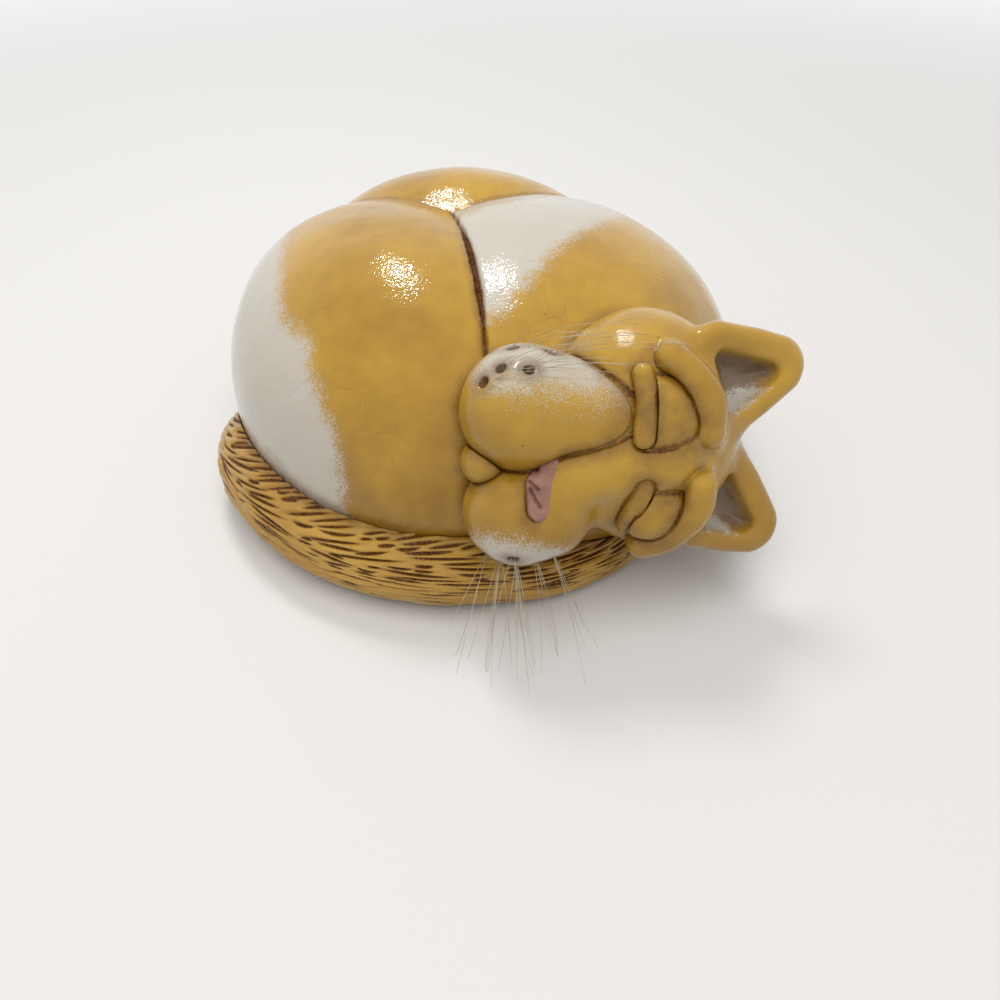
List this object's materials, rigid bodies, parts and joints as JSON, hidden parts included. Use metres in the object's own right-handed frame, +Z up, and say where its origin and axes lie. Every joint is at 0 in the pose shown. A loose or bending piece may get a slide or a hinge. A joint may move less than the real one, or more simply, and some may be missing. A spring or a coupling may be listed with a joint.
{
  "type": "gourd cat figurine",
  "caption": "Curled-up sleeping cat figurine: a three-lobed dried gourd with a clay tail, a clay head lying on its side and tufts of whiskers.",
  "frame": {"origin": "middle of the gourd's levelled base, on the plane that the figurine rests on", "axes": "+Z up out of the gourd's top, -Y toward the side that the cat's face looks to, +X toward the cat's ears"},
  "size_m": [0.1681, 0.1919, 0.0893],
  "materials": {
    "painted_gourd": "ginger paint under a thin glossy varnish",
    "painted_clay": "air-dry polymer clay, ginger paint, brown stain in the grooves, glossy varnish",
    "nose_paint": "dusty pink paint on clay, glossy varnish",
    "bare_wood": "plain sanded wood",
    "whisker": "pale translucent hair"
  },
  "bodies": {
    "root": {"gourd_shell": "painted_gourd", "base_plug": "bare_wood", "neck_peg": "bare_wood", "tail": "painted_clay", "head_core": "painted_clay", "right_whisker_pad": "painted_clay", "left_whisker_pad": "painted_clay", "chin": "painted_clay", "right_eyelid": "painted_clay", "left_eyelid": "painted_clay", "right_lower_lid": "painted_clay", "left_lower_lid": "painted_clay", "right_brow": "painted_clay", "left_brow": "painted_clay", "right_ear": "painted_clay", "left_ear": "painted_clay", "nose": "nose_paint", "right_whisker_tuft_1": "whisker", "right_whisker_tuft_2": "whisker", "right_whisker_tuft_3": "whisker", "right_whisker_tuft_4": "whisker", "right_whisker_tuft_5": "whisker", "left_whisker_tuft_1": "whisker", "left_whisker_tuft_2": "whisker", "left_whisker_tuft_3": "whisker", "left_whisker_tuft_4": "whisker", "left_whisker_tuft_5": "whisker", "left_whisker_tuft_6": "whisker"}
  },
  "joints": []
}
